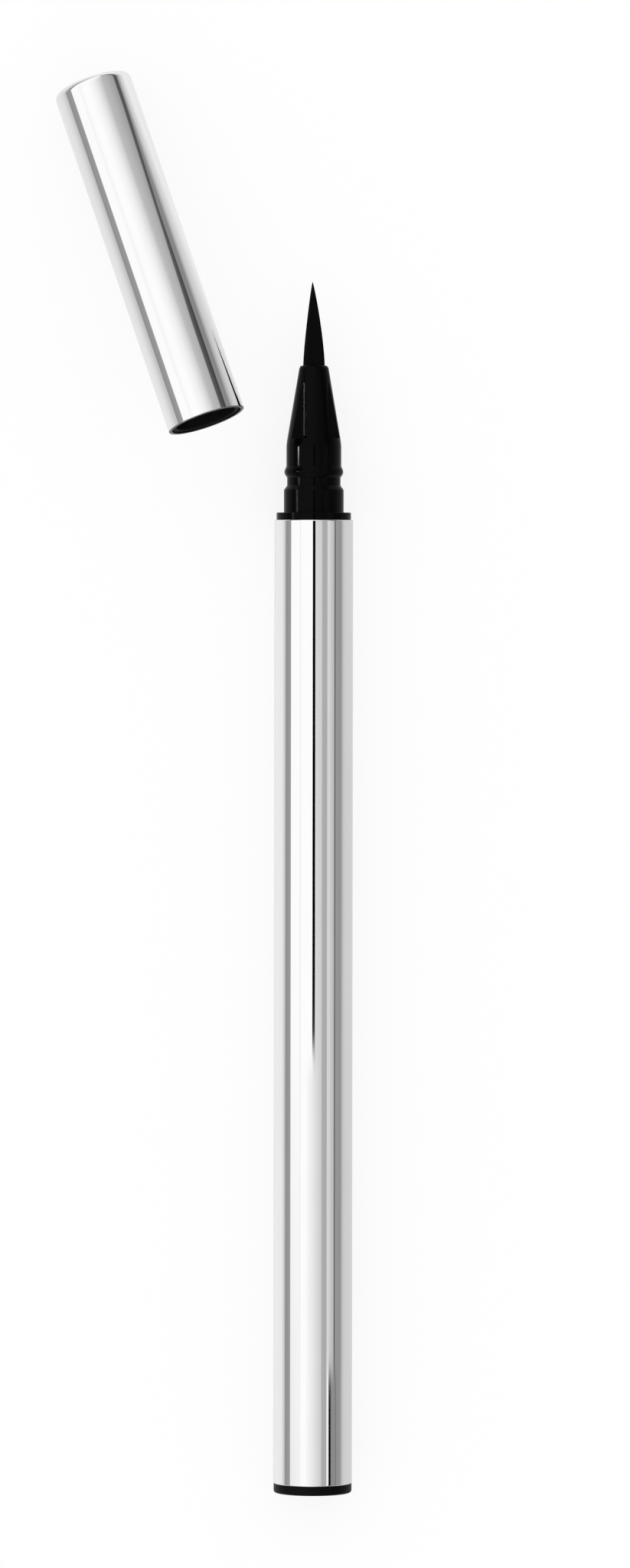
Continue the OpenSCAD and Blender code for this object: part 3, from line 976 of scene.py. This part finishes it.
class Panel(NamedTuple):
    """A panel of the studio round the pen, which shows only in reflections.

    It lies between two angles about the pen's axis from straight up, in degrees, with a
    brightness at each, and between two slopes along that axis, which end softly. A panel may
    lean by some degrees over a stretch of the cap, in millimetres from the cap's mouth."""
    name: str
    start: float
    end: float
    first: float
    last: float
    low: float
    high: float
    soft: float
    lean: float = 0
    lean_from: float = 0
    lean_to: float = 0


# Slopes past every ray's: a panel that reaches one of them has no end on that side
BACK, AHEAD = -2, 2

# Later panels lie over earlier ones
PANELS = [
    Panel("left wall", -95, -70, 0.28, 0.35, BACK, AHEAD, 0.01),
    Panel("left softbox", -69.5, -39, 1.04, 1.06, BACK, AHEAD, 0.01),
    Panel("left softbox below", -69.5, -39, 0.87, 0.97, BACK, -0.08, 0.04),
    Panel("left seam", -41, -37, 0.96, 0.96, BACK, 0.06, 0.02),
    Panel("top softbox", -37, 2, 1.06, 1.06, BACK, AHEAD, 0.01),
    Panel("right sweep", 2, 25, 0.76, 0.66, BACK, AHEAD, 0.01),
    Panel("top falloff", -20, 23, 1.04, 0.66, BACK, -0.058, 0.002),
    Panel("right grey card", 25, 41, 0.45, 0.43, BACK, AHEAD, 0.01),
    Panel("right strip", 41, 50, 0.72, 0.70, BACK, AHEAD, 0.01),
    Panel("right panel", 50, 64, 0.66, 0.50, BACK, AHEAD, 0.01),
    Panel("right edge", 64, 68, 0.10, 0.10, BACK, AHEAD, 0.01),
    Panel("right wall", 68, 95, 0.33, 0.30, BACK, AHEAD, 0.01),
    Panel("slit", -2.6, 5.2, 0.0, 0.0, -0.056, 0.12, 0.002),
    Panel("low right grey", 54, 95, 0.26, 0.33, BACK, -0.094, 0.002),
    Panel("low right line", 69.5, 72.5, 0.19, 0.19, BACK, -0.094, 0.002),
    Panel("white strip", 41.5, 47.5, 0.95, 0.95, BACK, -0.094, 0.002),
    Panel("black strip", 47.5, 54.5, 0.0, 0.0, BACK, -0.094, 0.002),
    Panel("ahead sweep", -20, 55, 1.06, 0.4, 0.15, AHEAD, 0.03),
    Panel("ahead top", -20, 0, 1.06, 0.94, 0.15, AHEAD, 0.03),
    Panel("ahead upper right", 0, 17, 0.94, 0.73, 0.15, AHEAD, 0.03),
    Panel("ahead right", 17, 27, 0.73, 0.54, 0.15, AHEAD, 0.03),
    Panel("ahead lower right", 27, 43, 0.54, 0.48, 0.15, AHEAD, 0.03),
    Panel("ahead low right", 43, 74, 0.48, 0.33, 0.15, AHEAD, 0.03),
    Panel("ahead seam left", -51, -42, 1.06, 0.985, 0.06, AHEAD, 0.02),
    Panel("ahead seam right", -42, -34, 0.985, 1.06, 0.06, AHEAD, 0.02),
    Panel("dark card", 50.5, 76, 0.12, 0.03, 0.15, AHEAD, 0.03, 20, 10, 34),
    Panel("grey card", 70.8, 95, 0.265, 0.26, 0.15, AHEAD, 0.03, 13, 22, 34),
    Panel("bright edge", 89.2, 99, 0.26, 0.68, 0.15, AHEAD, 0.03, -3.5, 4, 28),
    Panel("bright wall", 98.7, 125, 0.68, 0.75, 0.15, AHEAD, 0.03, -3.5, 4, 28),
]

# What the polished surfaces see where no panel is, and how soft the panels' sides are, in degrees
STUDIO_LEVEL = 0.7
PANEL_EDGE = 0.5
LEANING_EDGE = 1.5


def seen_at(station):
    """How far along the cap's axis a ray points once this place on the cap has mirrored it."""
    return (CAP_PLACE.translation + CAP_AXIS * station - EYE).normalized().dot(CAP_AXIS)


def over_panel(tree, level, panel, degrees, slope, along_cap):
    """The brightness so far, with one more panel laid over it."""
    edge = PANEL_EDGE
    if panel.lean:
        edge = LEANING_EDGE
        lean_from, lean_to = seen_at(panel.lean_from), seen_at(panel.lean_to)
        shift = map_range(tree, along_cap, lean_from, lean_to, 0, panel.lean)
        degrees = arithmetic(tree, "SUBTRACT", degrees, shift)
    mask = between(tree, degrees, panel.start, panel.end, edge)
    if panel.low > BACK or panel.high < AHEAD:
        ends = between(tree, slope, panel.low, panel.high, panel.soft)
        mask = arithmetic(tree, "MULTIPLY", mask, ends)
    ramp = map_range(tree, degrees, panel.start, panel.end, panel.first, panel.last)
    ramp.node.label = panel.name
    return mixed(tree, mask, level, ramp)


def studio():
    """White for the camera, even light for dull surfaces, and panels for polished ones."""
    world = bpy.data.worlds.new("studio")
    bpy.context.scene.world = world
    tree = empty_nodes(world)
    direction = tree.nodes.new("ShaderNodeTexCoord").outputs["Generated"]
    parts = tree.nodes.new("ShaderNodeSeparateXYZ")
    tree.links.new(direction, parts.inputs[0])
    angle = arithmetic(tree, "ARCTAN2", parts.outputs["X"], parts.outputs["Z"])
    degrees = arithmetic(tree, "MULTIPLY", angle, 180 / math.pi)
    along_cap = vector_math(tree, "DOT_PRODUCT", direction, CAP_AXIS)
    level = STUDIO_LEVEL
    for panel in PANELS:
        level = over_panel(tree, level, panel, degrees, parts.outputs["Y"], along_cap)
    path = tree.nodes.new("ShaderNodeLightPath")
    seen = mixed(tree, path.outputs["Is Glossy Ray"], DULL_LEVEL, level)
    seen = mixed(tree, path.outputs["Is Camera Ray"], seen, WHITE)
    background = tree.nodes.new("ShaderNodeBackground")
    background.inputs["Color"].default_value = (1, 1, 1, 1)
    tree.links.new(seen, background.inputs["Strength"])
    output = tree.nodes.new("ShaderNodeOutputWorld")
    tree.links.new(background.outputs[0], output.inputs["Surface"])


def all_but(name, pieces):
    """A collection for light linking that leaves out the given pieces and keeps all others."""
    collection = bpy.data.collections.new(name)
    for piece in pieces:
        collection.objects.link(piece)
    for item in collection.collection_objects:
        item.light_linking.link_state = "EXCLUDE"
    return collection


# The strip that draws the thin highlights on the black plastic: its angle about the pen's axis
# from straight up, its start and end along the pen and its width in millimetres, its radiance,
# and how far it hangs from the axis in metres
STRIP_ANGLE = -67.6
STRIP_FROM, STRIP_TO = 117, 138
STRIP_WIDTH = 60
STRIP_RADIANCE = 115
STRIP_DISTANCE = 0.6


def strip_lamp(see_through, unlit):
    """A narrow strip at the upper left. Some pieces don't shade it, and some aren't lit by it."""
    light = bpy.data.lights.new("strip_lamp", "AREA")
    light.shape = "RECTANGLE"
    light.size = (STRIP_TO - STRIP_FROM) * MM
    light.size_y = STRIP_WIDTH * MM
    light.energy = STRIP_RADIANCE * math.pi * light.size * light.size_y
    lamp = bpy.data.objects.new("strip_lamp", light)
    bpy.context.scene.collection.objects.link(lamp)
    angle = math.radians(STRIP_ANGLE)
    toward = Vector((math.sin(angle), 0, math.cos(angle)))
    middle = Vector((0, (STRIP_FROM + STRIP_TO) / 2 * MM, 0))
    lamp.location = middle + toward * STRIP_DISTANCE
    lamp.rotation_mode = "QUATERNION"
    lamp.rotation_quaternion = toward.to_track_quat("Z", "Y")
    lamp.visible_diffuse = False
    lamp.visible_camera = False
    lamp.light_linking.blocker_collection = all_but("strip_lamp_blockers", see_through)
    lamp.light_linking.receiver_collection = all_but("strip_lamp_receivers", unlit)


def camera():
    """Straight above the pen, and framed by a shift and not by a tilt."""
    data = bpy.data.cameras.new("camera")
    data.sensor_width = SENSOR
    data.lens = CAMERA_DISTANCE * PIXELS_PER_MM / MM / PHOTO_H * SENSOR
    data.shift_y = (EYE_LEVEL_PX - PHOTO_H / 2) / PHOTO_H
    data.dof.use_dof = False
    obj = bpy.data.objects.new("camera", data)
    bpy.context.scene.collection.objects.link(obj)
    obj.location = EYE * MM
    obj.rotation_euler = (0, 0, math.radians(CAMERA_ROLL))
    bpy.context.scene.camera = obj


barrel_piece = barrel_shell()
inner_barrel()
end_plug()
front_section()
brush_tip()
cap_pieces = [cap_shell(), cap_liner(), inner_seal()]
dress_hidden_nodes()
floor()
studio()
strip_lamp(see_through=cap_pieces, unlit=[barrel_piece] + cap_pieces)
camera()
bpy.context.scene.view_settings.view_transform = "Standard"
